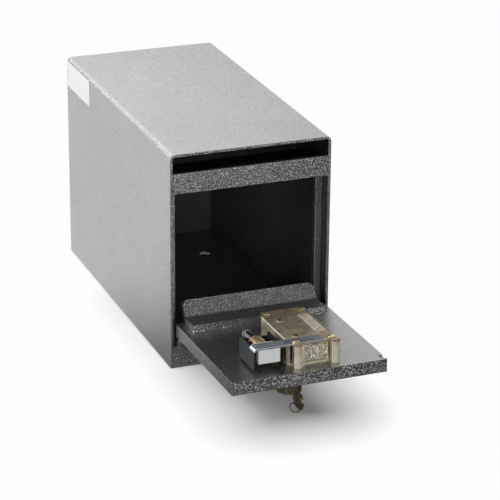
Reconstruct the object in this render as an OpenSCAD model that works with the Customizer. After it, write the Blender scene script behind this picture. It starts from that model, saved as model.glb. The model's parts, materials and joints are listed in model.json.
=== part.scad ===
// Small drop safe: a folded steel body with a deposit slot over a thick drop-front door.
// Origin: centre of the footprint, on the surface that the safe stands on.
// X runs to the right, Y to the back, Z up. Lengths are in millimetres.
// The door is drawn open, resting on its key.

/* [Body] */
// Width over the side walls
body_w = 152.4; // [130:0.1:260]
// Height of the body
body_h = 203.2; // [190:0.1:360]
// Depth from the front to the back
body_d = 304.8; // [220:0.1:460]
// Thickness of the body sheet
sheet_t = 2.66; // [1.5:0.01:3.2]
// Outer radius of the two long bends
bend_r = 4.8; // [3.5:0.1:9]

/* [Deposit slot] */
// Height of the deposit slot
slot_h = 15.3; // [8:0.1:24]
// Height of the bar under the slot
bar_h = 19.05; // [14:0.05:26]
// Thickness of that bar's front leg and foot leg
bar_t = 3.2; // [2:0.1:5]
// Depth of the bar's foot leg and of the sill
bar_d = 12; // [8:0.1:12]
// Thickness of the plates behind the slot
chute_t = 1.6; // [1:0.1:3]
// Depth of the chute behind the bar
chute_d = 66; // [40:1:100]
// Downward angle of the chute
chute_deg = 14; // [5:0.5:18]
// Clear way between the chute and the baffle
baffle_gap = 18; // [10:0.5:40]
// How far the baffle hangs below the top sheet
baffle_h = 44; // [20:0.5:60]

/* [Door opening] */
// Height of the sill bar above the floor sheet
sill_h = 17.8; // [12:0.1:20]
// Width and depth of the stop strips
stop_w = 6.4; // [4:0.1:8]
// Gap between the shut door and the stop strips
stop_gap = 0.9; // [0.85:0.05:2]

/* [Door] */
// Thickness of the door plate
door_t = 12; // [8:0.1:14]
// Gap at each side of the door
side_gap = 2.1; // [1:0.05:3]
// Gap over the shut door
top_gap = 2.3; // [1:0.05:3]
// Gap under the shut door
foot_gap = 1.8; // [1.8:0.05:3]
// Angle between the door shut and the door resting on its key
open_deg = 88.32; // [80:0.01:90]

/* [Hinge] */
// Outer radius of a knuckle
knuckle_r = 4.5; // [4:0.05:4.6]
// Radius of the hinge pin
pin_r = 3; // [2:0.05:3.3]
// Distance from the shut door's face out to the pin
hinge_out = 4.76; // [4.7:0.01:6]
// Height of the pin above the shut door's foot
hinge_up = 4.3; // [4:0.05:6]
// Thickness of the leaf on the sill
leaf_t = 1.5; // [1:0.05:1.5]
// Distance from a side wall to the end of the knuckles
knuckle_inset = 3; // [2.5:0.1:12]

/* [Door guard] */
// Length of the bent bar
guard_w = 127; // [90:0.5:130]
// Thickness of the bent bar
guard_t = 6; // [3:0.1:6.4]
// Length of its leaning leg
guard_leg = 16.1; // [8:0.1:18]
// Lean of that leg away from upright
guard_lean = 37; // [30:0.5:45]

/* [Lock box] */
// Width of the lock box
lock_w = 43.5; // [43:0.1:50]
// Length of the lock box
lock_l = 77.1; // [77:0.1:90]
// Height of the lock box without its lid
case_h = 19.6; // [19.5:0.1:24]
// Thickness of the lid
lid_t = 2.4; // [2.2:0.1:3.5]
// Thickness of the case walls
case_wall = 2.5; // [2:0.1:2.8]
// Thickness of the case floor
case_floor = 2; // [1.5:0.1:2.1]
// Distance from the door's middle to the key's axis
key_x = -2; // [-6:0.1:3]
// Distance from the door's free edge back to the key's axis
key_in = 28.6; // [28.4:0.1:34]
// Radius of the round horn that reaches through the door
horn_r = 10.8; // [10.7:0.05:12]
// How far the horn stands out of the door
horn_out = 16; // [4:0.1:17.5]
// Radius of the turning barrel
plug_r = 3.8; // [3.6:0.05:3.9]

/* [Lock bolt] */
// Width of the bolt
bolt_w = 22.4; // [19:0.1:22.6]
// Height of the bolt
bolt_h = 16.4; // [14:0.1:16.5]
// Travel of the bolt
bolt_throw = 19; // [10:0.1:19]
// Turn of the key that throws the bolt
key_deg = 120; // [100:1:120]

/* [Relocker] */
// Thickness of the zinc-plated strap
strap_t = 1.6; // [1:0.05:1.8]
// Width of the strap
strap_w = 12; // [10:0.1:12.4]
// Outer width of the guide box
box_w = 26.9; // [25.5:0.1:28]
// Length of the guide box
box_l = 37; // [35:0.1:40]
// Width of the relock block
block_w = 20.2; // [17:0.1:20.4]
// Height of the relock block
block_h = 12.9; // [8:0.1:13]
// Radius of the relock rod
rod_r = 3; // [2:0.05:3.4]
// Travel of the relock block
relock_throw = 17; // [8:0.1:17]

/* [Key and ring] */
// Thickness of the key
key_t = 2; // [1.2:0.05:2.4]
// Width of the key's blade
blade_w = 5.6; // [4:0.1:5.8]
// Length of the key's bow
bow_l = 20.6; // [19:0.1:24]
// Height of the key's bow
bow_h = 15; // [14.6:0.1:15.4]
// Outer radius of the key ring
ring_r = 5.8; // [5.7:0.05:6]
// Radius of the ring's wire
ring_wire_r = 0.8; // [0.5:0.05:0.85]

/* [Anchor holes and label] */
// Radius of the anchor holes in the floor
anchor_r = 5.2; // [3:0.1:7]
// Spacing of the anchor holes across
anchor_w = 90; // [60:1:100]
// Spacing of the anchor holes along the depth
anchor_d = 180; // [100:1:200]
// Length of the blank label
label_l = 71; // [30:1:90]
// Height of the blank label
label_h = 26; // [12:1:40]

/* [Hidden] */
$fn = 64;

// Overrun of every cut past the face that it cuts
over = 0.5;
// Radial clearance of a shaft in its bearing
run_gap = 0.06;
// Clearance beside a sliding or swinging piece
slide_gap = 0.4;
// Clearance between pieces that rest side by side
seat_gap = 0.3;

front_y = -body_d / 2;
back_y = body_d / 2;
inner_w = body_w - 2 * sheet_t;
slot_foot = body_h - sheet_t - slot_h;
bar_foot = slot_foot - bar_h;
sill_top = sheet_t + sill_h;
door_foot = sill_top + foot_gap;
door_l = bar_foot - top_gap - door_foot;
door_w = inner_w - 2 * side_gap;
hinge_y = front_y - hinge_out;
hinge_z = door_foot + hinge_up;
rest_tilt = 90 - open_deg;

// Knuckles along the hinge: five, the odd ones on the sill
knuckle_count = 5;
knuckle_gap = 0.6;
knuckle_run = inner_w - 2 * knuckle_inset;
knuckle_l = (knuckle_run - (knuckle_count - 1) * knuckle_gap) / knuckle_count;
leaf_reach = bar_d - 2 * knuckle_gap;

// Places in the lock, across from the key's axis and forward of it
case_left = 12.2;
case_front = 17.1;
case_rear = lock_l - case_front;
corner_cut_x = 4.2;
corner_cut_l = 10;
post_r = 4.3;
post_inset = 3;
post_outset = 2.5;
post_left = case_left - post_r - post_inset;
post_right = lock_w - case_left - post_r + post_outset;
post_front = case_front - slide_gap;
lid_top = case_h + lid_t;
screw_left = 5.4;
screw_right = 27.4;
screw_front = 13.2;
screw_rear_in = 5.4;
screw_rear = case_rear - screw_rear_in;
screw_r = 1.5;
screw_head_r = 3.2;
screw_head_h = 1.1;
screw_l = 8;
recess_w = 0.9;
recess_l = 3.4;
recess_h = 0.7;
boss_r = 3;
rim_h = 0.5;
rim_w = 1.4;
pad_h = 0.4;
pad_w = 10;
pad_l = 42;
pad_x = 24;
pad_front = 0.5;
fixing_r = 2.4;
fixing_head_r = 4.2;
fixing_head_h = 2;
fixing_left = 2;
fixing_right = 16;
fixing_rear_share = 0.85;
fixing_rear = case_rear * fixing_rear_share;
fixing_l = 5.5;
horn_x = -6;

// Bolt, crank and levers
window_gap = 0.6;
bolt_x = 13.3;
bolt_foot = 2.6;
bolt_front = case_front - slide_gap;
bolt_head_l = 10.7;
bolt_chamfer = 1.6;
tail_left = 6.4;
tail_right = 22.5;
tail_past = 7;
tail_top = 8.4;
crank_foot = 9.2;
crank_h = 2;
crank_w = 3.8;
crank_pin_r = 1.5;
crank_r = bolt_throw / (2 * sin(key_deg / 2));
fork_foot = crank_foot + crank_h + slide_gap;
fork_h = 3;
fork_arm = 2;
fork_slack = 1.8;
fork_slot = 2 * crank_pin_r + fork_slack;
fork_left = 3.3;
web_left = crank_r + crank_w / 2 + window_gap;
web_l = fork_slot + 2 * fork_arm;
crank_back = crank_r * sin(key_deg / 2);
spindle_r = 2.5;
lever_pivot_share = 0.61;
lever_pivot = case_rear * lever_pivot_share;
lever_pivot_r = 2.2;
lever_head_r = 5;
lever_t = 1.6;
lever_pitch = 1.8;
lever_foot = 2.8;
lever_outer = 7.2;
lever_gap = 0.6;
lever_inner = plug_r + lever_gap;
lever_front = 6;
lever_waist = 9;
lever_right = 2.6;
lever_shoulder_share = 0.33;
lever_shoulder = case_rear * lever_shoulder_share;
gate_w = 1.2;
gate_l = 3;
gate_share = 0.45;
gate_at = case_rear * gate_share;
tail_l = gate_at + tail_past + bolt_front - bolt_head_l;
spring_strip_t = 0.4;
spring_strip_h = 1.2;
spring_strip_gap = 5;
spring_strip_l = case_rear - case_wall - lever_pivot - spring_strip_gap;
spring_strip_deg = 13;

// The guard's flat leg covers a share of the door behind the lock
guard_reach_share = 0.443;
guard_reach = (door_l - key_in - case_rear) * guard_reach_share;

// Relocker, across from the door's middle and back from the door's free edge
strap_front = 11.6;
strap_right = 17.8;
axis_x = -32.6;
axis_in = 14.4;
box_left = axis_x - axis_in;
box_right = box_left + box_w;
box_foot = 2.3;
box_rear_h = 17.5;
strap_top = lid_top;
strap_foot = strap_top - strap_t;
rod_h = strap_foot - seat_gap - block_h / 2;
block_l = 17;
block_set = 0.9;
block_front = strap_front + block_set;
rod_rear = box_l + strap_front + relock_throw + seat_gap;
head_r = 4;
head_h = 2.8;
dome_share = 1.3;
spring_r = 6.4;
spring_wire_r = 0.8;
spring_turns = 6;
curl_steps = 8;
spring_l = box_l - strap_t - block_l - block_set - 2 * seat_gap;

// Key: its bow stands along the door's length, a little forward of the barrel
key_gap = 0.15;
shank_w = 9;
shank_forward = 1;
bow_forward = 6.5;
bow_gap = 0.4;
bow_drop = bow_h / 2 + bow_gap;
bow_hole_r = 2.1;
bow_hole_back = 4;
bow_hole_down = 4.5;
blade_up = 8;
bit_r = 5.2;
ring_tilt = 32;
ring_side = 2.6;
horn_foot = -door_t - horn_out;
bow_mid_h = horn_foot - bow_drop;
ring_mean_r = ring_r - ring_wire_r;
ring_chord = sqrt(ring_mean_r * ring_mean_r - ring_side * ring_side);

label_t = 0.15;
label_back = 1.5;
label_top = 2.6;

// Colours
paint = "dimgray";
dark_paint = "#2b2b2b";
champagne = "#b9ad96";
zinc = "#d9dde0";
yellow_zinc = "#c9a24a";
steel = "#9a9a98";
bronze = "#5a5246";

// A block given by its lowest corner and its highest corner
module block(low, high) {
    translate(low) cube(high - low);
}

// The door's own frame, laid flat: its foot edge on the inner face is the origin,
// the free edge lies at -Y and the inner face looks up
module on_door() {
    translate([0, hinge_y, hinge_z])
        rotate([-rest_tilt, 0, 0])
            translate([0, hinge_up, door_t + hinge_out])
                children();
}

// The lock's frame: the key's axis on the door's inner face, forward at -Y
module on_lock() {
    on_door() translate([key_x, -(door_l - key_in), 0]) children();
}

// Body

module shell_section() {
    difference() {
        union() {
            translate([-body_w / 2, 0]) square([body_w, body_h - bend_r]);
            translate([-body_w / 2 + bend_r, 0]) square([body_w - 2 * bend_r, body_h]);
            for (side = [-1, 1])
                translate([side * (body_w / 2 - bend_r), body_h - bend_r]) circle(r = bend_r);
        }
        translate([-inner_w / 2, -over]) square([inner_w, body_h - bend_r + over]);
        translate([-body_w / 2 + bend_r, -over])
            square([body_w - 2 * bend_r, body_h - sheet_t + over]);
        for (side = [-1, 1])
            translate([side * (body_w / 2 - bend_r), body_h - bend_r])
                circle(r = bend_r - sheet_t);
    }
}

module body_shell() {
    color(paint)
        translate([0, back_y, 0]) rotate([90, 0, 0])
            linear_extrude(height = body_d) shell_section();
}

module bottom_plate() {
    color(paint) difference() {
        block([-inner_w / 2, front_y, 0], [inner_w / 2, back_y, sheet_t]);
        for (x = [-1, 1], y = [-1, 1])
            translate([x * anchor_w / 2, y * anchor_d / 2, -over])
                cylinder(r = anchor_r, h = sheet_t + 2 * over);
    }
}

module back_plate() {
    inner_r = bend_r - sheet_t;
    color(paint) union() {
        block([-inner_w / 2, back_y - sheet_t, sheet_t],
              [inner_w / 2, back_y, body_h - bend_r]);
        block([-inner_w / 2 + inner_r, back_y - sheet_t, body_h - bend_r],
              [inner_w / 2 - inner_r, back_y, body_h - sheet_t]);
    }
}

// An angle: its front leg stands under the slot, its foot leg is the bolts' keeper
module cross_bar() {
    color(paint) union() {
        block([-inner_w / 2, front_y, bar_foot], [inner_w / 2, front_y + bar_t, slot_foot]);
        block([-inner_w / 2, front_y, bar_foot],
              [inner_w / 2, front_y + bar_d, bar_foot + bar_t]);
    }
}

module sill_bar() {
    color(paint)
        block([-inner_w / 2, front_y, sheet_t], [inner_w / 2, front_y + bar_d, sill_top]);
}

module stop_strip(side) {
    stop_y = front_y + door_t + stop_gap;
    color(paint)
        translate([side * (inner_w - stop_w) / 2 - stop_w / 2, stop_y, sheet_t])
            cube([stop_w, stop_w, slot_foot - sheet_t - chute_t - stop_w]);
}

// The chute runs back and down from the bar's top edge
module deposit_chute() {
    color(dark_paint)
        translate([-inner_w / 2, front_y + bar_t, slot_foot - chute_t])
            rotate([-chute_deg, 0, 0]) cube([inner_w, chute_d, chute_t]);
}

// The baffle hangs from the top sheet behind the end of the chute
module deposit_baffle() {
    chute_end = front_y + bar_t + chute_d * cos(chute_deg);
    color(dark_paint) union() {
        block([-inner_w / 2, chute_end + baffle_gap, body_h - bend_r - baffle_h],
              [inner_w / 2, chute_end + baffle_gap + chute_t, body_h - bend_r]);
        block([-inner_w / 2 + bend_r, chute_end + baffle_gap, body_h - bend_r],
              [inner_w / 2 - bend_r, chute_end + baffle_gap + chute_t, body_h - sheet_t]);
    }
}

// A knuckle numbered from the left, drilled for the pin
module knuckle(i) {
    knuckle_x = -knuckle_run / 2 + i * (knuckle_l + knuckle_gap);
    translate([knuckle_x, 0, 0]) rotate([0, 90, 0]) difference() {
        cylinder(r = knuckle_r, h = knuckle_l);
        translate([0, 0, -over]) cylinder(r = pin_r + run_gap, h = knuckle_l + 2 * over);
    }
}

module hinge_leaf_body() {
    color(paint) union() {
        block([-knuckle_run / 2, front_y + knuckle_gap, sill_top],
              [knuckle_run / 2, front_y + leaf_reach, sill_top + leaf_t]);
        for (i = [0 : 2 : knuckle_count - 1]) {
            translate([0, hinge_y, hinge_z]) knuckle(i);
            difference() {
                translate([-knuckle_run / 2 + i * (knuckle_l + knuckle_gap), hinge_y, sill_top])
                    cube([knuckle_l, hinge_out + knuckle_gap + over, leaf_t]);
                translate([-body_w / 2, hinge_y, hinge_z]) rotate([0, 90, 0])
                    cylinder(r = pin_r + run_gap, h = body_w);
            }
        }
    }
}

module hinge_pin() {
    color(steel)
        translate([-knuckle_run / 2, hinge_y, hinge_z]) rotate([0, 90, 0])
            cylinder(r = pin_r, h = knuckle_run);
}

module side_label() {
    color("white")
        block([-body_w / 2 - label_t, back_y - label_back - label_l, body_h - label_top - label_h],
              [-body_w / 2, back_y - label_back, body_h - label_top]);
}

// Door

module door_plate() {
    notch_w = 4.2;
    notch_l = 7.7;
    notch_h = 1.5;
    notch_in = 2.4;
    color(paint) on_door() difference() {
        block([-door_w / 2, -door_l, -door_t], [door_w / 2, 0, 0]);
        translate([key_x + horn_x, -(door_l - key_in), -door_t - over])
            cylinder(r = horn_r + run_gap, h = door_t + 2 * over);
        translate([key_x, -(door_l - key_in), -door_t / 2]) at_fixings()
            cylinder(r = fixing_r + run_gap, h = door_t / 2 + over);
        block([door_w / 2 - notch_w, -door_l + notch_in, -notch_h],
              [door_w / 2 + over, -door_l + notch_in + notch_l, over]);
    }
}

// The bent bar: its flat leg lies on the door, its other leg leans back over the foot
module door_guard() {
    lean = [sin(guard_lean), cos(guard_lean)];
    heel_in = 1.4;
    foot = guard_t * tan(guard_lean / 2) + heel_in;
    knee = [-foot, guard_t];
    tip = knee + guard_leg * lean;
    back_tip = tip + guard_t * [lean[1], -lean[0]];
    heel_y = back_tip[0] - back_tip[1] * tan(guard_lean);
    corner = 3.6;
    color(paint) on_door() intersection() {
        translate([-guard_w / 2, 0, 0]) rotate([90, 0, 90]) linear_extrude(height = guard_w)
            polygon([[-guard_reach, 0], [-guard_reach, guard_t], knee, tip, back_tip, [heel_y, 0]]);
        translate([0, guard_reach, 0]) rotate([90, 0, 0])
            linear_extrude(height = 2 * guard_reach + over)
            polygon([[-guard_w / 2, 0], [guard_w / 2, 0], [guard_w / 2, tip[1] - corner],
                     [guard_w / 2 - corner, tip[1]], [-guard_w / 2 + corner, tip[1]],
                     [-guard_w / 2, tip[1] - corner]]);
    }
}

module hinge_leaf_door() {
    pad_y = hinge_up + knuckle_r;
    color(paint) on_door() for (i = [1 : 2 : knuckle_count - 1]) {
        translate([0, -hinge_up, -door_t - hinge_out]) knuckle(i);
        difference() {
            translate([-knuckle_run / 2 + i * (knuckle_l + knuckle_gap), -pad_y,
                       -door_t - hinge_out])
                cube([knuckle_l, 2 * knuckle_r, hinge_out]);
            translate([-body_w / 2, -hinge_up, -door_t - hinge_out]) rotate([0, 90, 0])
                cylinder(r = pin_r + run_gap, h = body_w);
            block([-body_w / 2, -hinge_up, -door_t - hinge_out - over],
                  [body_w / 2, hinge_up, -door_t - hinge_out + knuckle_r]);
        }
    }
}

// Lock box

module lock_outline() {
    union() {
        polygon([[-case_left, case_rear - corner_cut_l], [-case_left + corner_cut_x, case_rear],
                 [lock_w - case_left - corner_cut_x, case_rear],
                 [lock_w - case_left, case_rear - corner_cut_x],
                 [lock_w - case_left, -post_front + 2 * post_r], [post_right, -case_front],
                 [-post_left, -case_front], [-case_left, -post_front + 2 * post_r]]);
        translate([-post_left, -post_front]) circle(r = post_r);
        translate([post_right, -post_front]) circle(r = post_r);
    }
}

module at_screws() {
    for (place = [[-screw_left, screw_rear], [screw_right, screw_rear],
                  [-screw_left, -screw_front], [screw_right, -screw_front]])
        translate([place[0], place[1], 0]) children();
}

module at_fixings() {
    for (x = [fixing_left, fixing_right])
        translate([x, fixing_rear, 0]) children();
}

module lock_case() {
    bolt_left = bolt_x - bolt_w / 2;
    bolt_right = bolt_x + bolt_w / 2;
    window_top = bolt_foot + bolt_h + slide_gap;
    color(champagne) on_lock() difference() {
        union() {
            difference() {
                linear_extrude(height = case_h) lock_outline();
                translate([-case_left + case_wall, -case_front + case_wall, case_floor])
                    cube([lock_w - 2 * case_wall, lock_l - 2 * case_wall, case_h]);
            }
            intersection() {
                at_screws() cylinder(r = boss_r, h = case_h);
                linear_extrude(height = case_h) lock_outline();
            }
            intersection() {
                translate([-case_left, case_rear - corner_cut_l - case_wall, 0])
                    cube([corner_cut_x + case_wall, corner_cut_l + case_wall, case_h]);
                linear_extrude(height = case_h) lock_outline();
            }
            translate([horn_x, 0, horn_foot]) cylinder(r = horn_r, h = case_floor - horn_foot);
        }
        at_screws() translate([0, 0, lid_top - screw_l - over])
            cylinder(r = screw_r + run_gap, h = case_h);
        translate([0, 0, horn_foot - over])
            cylinder(r = plug_r + run_gap, h = case_floor - horn_foot + 2 * over);
        block([-key_t / 2 - key_gap, -bit_r - key_gap, horn_foot - over],
              [key_t / 2 + key_gap, 0, case_floor + over]);
        translate([0, lever_pivot, -over]) cylinder(r = lever_pivot_r, h = case_floor + 2 * over);
        at_fixings() translate([0, 0, -over])
            cylinder(r = fixing_r + run_gap, h = case_floor + 2 * over);
        block([bolt_left - window_gap, -case_front - post_r, -over],
              [bolt_right + window_gap, -case_front + case_wall + over, window_top]);
        block([bolt_left - slide_gap, -case_front, case_floor],
              [bolt_right + slide_gap, -bolt_front + bolt_head_l + slide_gap, case_h + over]);
    }
}

// The lid has a recess for the strap, and a plain raised pad beside it
module lock_lid() {
    strap_rear = -(key_in - strap_front - strap_w);
    color(champagne) on_lock() difference() {
        union() {
            translate([0, 0, case_h]) linear_extrude(height = lid_t) lock_outline();
            translate([0, 0, case_h]) cylinder(r = spindle_r + rim_w, h = lid_t + rim_h);
            translate([0, lever_pivot, case_h])
                cylinder(r = lever_pivot_r + rim_w, h = lid_t + rim_h);
            translate([pad_x - pad_w / 2, pad_front, case_h]) cube([pad_w, pad_l, lid_t + pad_h]);
        }
        at_screws() translate([0, 0, case_h - over])
            cylinder(r = screw_r + run_gap, h = lid_t + 2 * over);
        translate([0, 0, case_h - over])
            cylinder(r = spindle_r + run_gap, h = lid_t + rim_h + 2 * over);
        translate([0, lever_pivot, case_h - over])
            cylinder(r = lever_pivot_r, h = lid_t + rim_h + 2 * over);
        block([-case_left - over, -(key_in - strap_front) - seat_gap, strap_foot],
              [strap_right - key_x + seat_gap, strap_rear + seat_gap, lid_top + over]);
    }
}

// A pan-head screw with a cross recess
module pan_screw() {
    difference() {
        union() {
            translate([0, 0, lid_top - screw_l]) cylinder(r = screw_r, h = screw_l);
            translate([0, 0, lid_top]) intersection() {
                cylinder(r = screw_head_r, h = screw_head_h);
                translate([0, 0, screw_head_h - 2 * screw_head_r])
                    sphere(r = 2 * screw_head_r);
            }
        }
        for (turn = [0, 90]) rotate(turn)
            translate([-recess_l / 2, -recess_w / 2, lid_top + screw_head_h - recess_h])
                cube([recess_l, recess_w, screw_head_h]);
    }
}

module lid_screws() {
    color(champagne) on_lock() at_screws() pan_screw();
}

module case_screws() {
    color(steel) on_lock() at_fixings() {
        translate([0, 0, -fixing_l]) cylinder(r = fixing_r, h = fixing_l + case_floor);
        translate([0, 0, case_floor]) cylinder(r = fixing_head_r, h = fixing_head_h);
    }
}

module lever_post() {
    color(steel) on_lock() translate([0, lever_pivot, 0])
        cylinder(r = lever_pivot_r, h = lid_top + rim_h);
}

// Bolt

// The bolt's head has its front edges chamfered
module bolt_head() {
    back = -bolt_front + bolt_head_l;
    left = bolt_x - bolt_w / 2;
    right = bolt_x + bolt_w / 2;
    top = bolt_foot + bolt_h;
    c = bolt_chamfer;
    intersection() {
        translate([0, 0, bolt_foot]) linear_extrude(height = bolt_h)
            polygon([[left, back], [left, -bolt_front + c], [left + c, -bolt_front],
                     [right - c, -bolt_front], [right, -bolt_front + c], [right, back]]);
        translate([left, 0, 0]) rotate([90, 0, 90]) linear_extrude(height = bolt_w)
            polygon([[back, bolt_foot], [back, top], [-bolt_front + c, top],
                     [-bolt_front, top - c], [-bolt_front, bolt_foot + c],
                     [-bolt_front + c, bolt_foot]]);
    }
}

module lock_bolt() {
    color(zinc) on_lock() union() {
        bolt_head();
        block([tail_left, -bolt_front + bolt_head_l - over, bolt_foot],
              [tail_right, -bolt_front + bolt_head_l + tail_l, tail_top]);
        block([lever_right + slide_gap, gate_at - gate_l / 2, lever_foot],
              [tail_left + over, gate_at, tail_top]);
    }
}

// The fork stands on the bolt's tail and takes the crank's pin
module bolt_drive_fork() {
    color(steel) on_lock() difference() {
        union() {
            block([web_left, crank_back - web_l / 2, tail_top],
                  [tail_right, crank_back + web_l / 2, fork_foot + fork_h]);
            block([fork_left, crank_back - web_l / 2, fork_foot],
                  [tail_right, crank_back + web_l / 2, fork_foot + fork_h]);
        }
        block([fork_left - over, crank_back - fork_slot / 2, fork_foot - over],
              [web_left - slide_gap, crank_back + fork_slot / 2, fork_foot + fork_h + over]);
    }
}

module crank_arm() {
    translate([0, -crank_w / 2, crank_foot]) cube([crank_r, crank_w, crank_h]);
    translate([crank_r, 0, crank_foot]) cylinder(r = crank_w / 2, h = crank_h);
}

// Barrel: slotted for the key, with a crank arm over it and a spindle in the lid
module key_barrel() {
    color(bronze) on_lock() difference() {
        union() {
            translate([0, 0, horn_foot]) cylinder(r = plug_r, h = crank_foot + crank_h - horn_foot);
            translate([0, 0, crank_foot]) cylinder(r = spindle_r, h = lid_top + rim_h - crank_foot);
            rotate(key_deg / 2) crank_arm();
        }
        block([-key_t / 2 - key_gap, -plug_r - over, horn_foot - over],
              [key_t / 2 + key_gap, blade_w / 2 + key_gap, blade_up + key_gap]);
    }
}

module crank_pin() {
    color(steel) on_lock() rotate(key_deg / 2)
        translate([crank_r, 0, crank_foot + crank_h])
            cylinder(r = crank_pin_r, h = fork_foot + fork_h - crank_foot - crank_h);
}

// Levers

module lever(i) {
    color(steel) on_lock() translate([0, 0, lever_foot + i * lever_pitch]) difference() {
        union() {
            translate([0, lever_pivot, 0]) cylinder(r = lever_head_r, h = lever_t);
            linear_extrude(height = lever_t) polygon([
                [-lever_head_r, lever_pivot], [-lever_outer, lever_shoulder],
                [-lever_outer, -lever_front], [-lever_inner, -lever_front],
                [-lever_inner, lever_front], [-gate_w, lever_waist],
                [lever_right, lever_shoulder - lever_waist],
                [lever_right, lever_pivot]]);
        }
        translate([0, lever_pivot, -over])
            cylinder(r = lever_pivot_r + run_gap, h = lever_t + 2 * over);
        block([lever_right - gate_w, gate_at - gate_l, -over],
              [lever_right + over, gate_at, lever_t + over]);
    }
}

module lever_springs() {
    color(steel) on_lock() for (i = [0 : 2])
        translate([lever_head_r, lever_pivot,
                   lever_foot + i * lever_pitch + (lever_t - spring_strip_h) / 2])
            rotate(-spring_strip_deg) cube([spring_strip_t, spring_strip_l, spring_strip_h]);
}

// Relocker

module relock_bracket() {
    strap_y = -(door_l - strap_front);
    color(zinc) on_door() difference() {
        union() {
            block([box_left, strap_y, strap_foot], [strap_right, strap_y + strap_w, strap_top]);
            for (x = [box_left, box_right - strap_t])
                block([x, strap_y, box_foot], [x + strap_t, strap_y + box_l, strap_top]);
            block([box_left, strap_y + box_l - strap_t, box_foot],
                  [box_right, strap_y + box_l, box_rear_h]);
        }
        translate([axis_x, strap_y + box_l - strap_t - over, rod_h]) rotate([-90, 0, 0])
            cylinder(r = rod_r + run_gap, h = strap_t + 2 * over);
        translate([key_x - screw_left, -(door_l - key_in) - screw_front, strap_foot - over])
            cylinder(r = screw_r + run_gap, h = strap_t + 2 * over);
    }
}

// Points of the spring's helix, its axis along Y
function coil_point(turn, radius, pitch) =
    [radius * cos(360 * turn), pitch * turn, radius * sin(360 * turn)];

// One ring of the wire's section at a point of the helix
function coil_ring(turn, radius, pitch, wire, sides) =
    [for (k = [0 : sides - 1])
        let (a = 360 * k / sides, r = radius + wire * cos(a))
        [r * cos(360 * turn), pitch * turn + wire * sin(a), r * sin(360 * turn)]];

module coil(radius, wire, turns, length, steps, sides) {
    pitch = (length - 2 * wire) / turns;
    rings = turns * steps;
    points = [for (i = [0 : rings]) each coil_ring(i / steps, radius, pitch, wire, sides)];
    walls = [for (i = [0 : rings - 1], k = [0 : sides - 1])
        let (a = i * sides + k, b = i * sides + (k + 1) % sides)
        each [[a, b, b + sides], [a, b + sides, a + sides]]];
    first = [for (k = [1 : sides - 2]) [0, k + 1, k]];
    last = [for (k = [1 : sides - 2]) [rings * sides, rings * sides + k, rings * sides + k + 1]];
    gaps = [for (i = [0 : rings - steps])
        norm(coil_point((i + steps) / steps, radius, pitch) - coil_point(i / steps, radius, pitch))
            - 2 * wire];
    echo(least_gap_of_spring = min(gaps));
    translate([0, wire, 0]) polyhedron(points = points, faces = concat(first, walls, last));
}

module relock_spring() {
    spring_y = -(door_l - strap_front - box_l) - strap_t - seat_gap - spring_l;
    color(yellow_zinc) on_door() translate([axis_x, spring_y, rod_h])
        coil(spring_r, spring_wire_r, spring_turns, spring_l, curl_steps, 6);
}

module relock_block() {
    block_y = -(door_l - block_front);
    color(zinc) on_door()
        block([axis_x - block_w / 2, block_y, rod_h - block_h / 2],
              [axis_x + block_w / 2, block_y + block_l, rod_h + block_h / 2]);
}

module relock_rod() {
    rod_y = -(door_l - block_front - block_l);
    color(steel) on_door() translate([axis_x, rod_y, rod_h]) rotate([-90, 0, 0])
        cylinder(r = rod_r, h = rod_rear - block_front - block_l);
}

module relock_head() {
    color(zinc) on_door() translate([axis_x, -(door_l - rod_rear), rod_h]) rotate([-90, 0, 0])
        intersection() {
            cylinder(r = head_r, h = head_h);
            translate([0, 0, head_h - head_r]) sphere(r = dome_share * head_r);
        }
}

// Key and ring

// The hole that takes the ring lies behind and below the bow's middle
module at_bow_hole() {
    translate([0, -bow_forward + bow_hole_back, bow_mid_h - bow_hole_down]) children();
}

module key_bow() {
    end_y = (bow_l - bow_h) / 2;
    for (y = [-end_y, end_y])
        translate([-key_t / 2, -bow_forward + y, bow_mid_h]) rotate([0, 90, 0])
            cylinder(r = bow_h / 2, h = key_t);
    block([-key_t / 2, -bow_forward - end_y, bow_mid_h - bow_h / 2],
          [key_t / 2, -bow_forward + end_y, bow_mid_h + bow_h / 2]);
}

module key() {
    color(bronze) on_lock() difference() {
        union() {
            block([-key_t / 2, -blade_w / 2, bow_mid_h], [key_t / 2, blade_w / 2, blade_up]);
            block([-key_t / 2, -bit_r, lever_foot], [key_t / 2, 0, blade_up]);
            block([-key_t / 2, -shank_w / 2 - shank_forward, bow_mid_h],
                  [key_t / 2, shank_w / 2 - shank_forward, horn_foot - seat_gap]);
            key_bow();
        }
        at_bow_hole() translate([-key_t, 0, 0]) rotate([0, 90, 0])
            cylinder(r = bow_hole_r, h = 2 * key_t);
    }
}

module key_ring() {
    color(bronze) on_lock() at_bow_hole() rotate([ring_tilt, 0, 0])
        translate([-ring_side, -ring_chord, 0])
            rotate_extrude() translate([ring_mean_r, 0]) circle(r = ring_wire_r, $fn = 24);
}

body_shell();
bottom_plate();
back_plate();
cross_bar();
sill_bar();
stop_strip(-1);  // stop_strip_left
stop_strip(1);  // stop_strip_right
deposit_chute();
deposit_baffle();
hinge_leaf_body();
hinge_pin();
side_label();
door_plate();
door_guard();
hinge_leaf_door();
lock_case();
lock_lid();
lid_screws();
case_screws();
lever_post();
relock_bracket();
relock_spring();
lock_bolt();
bolt_drive_fork();
key_barrel();
crank_pin();
lever(0);  // lever_lower
lever(1);  // lever_middle
lever(2);  // lever_upper
lever_springs();
key();
key_ring();
relock_block();
relock_rod();
relock_head();
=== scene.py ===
import json
import math

import bmesh
import bpy
from mathutils import Matrix, Vector

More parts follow.
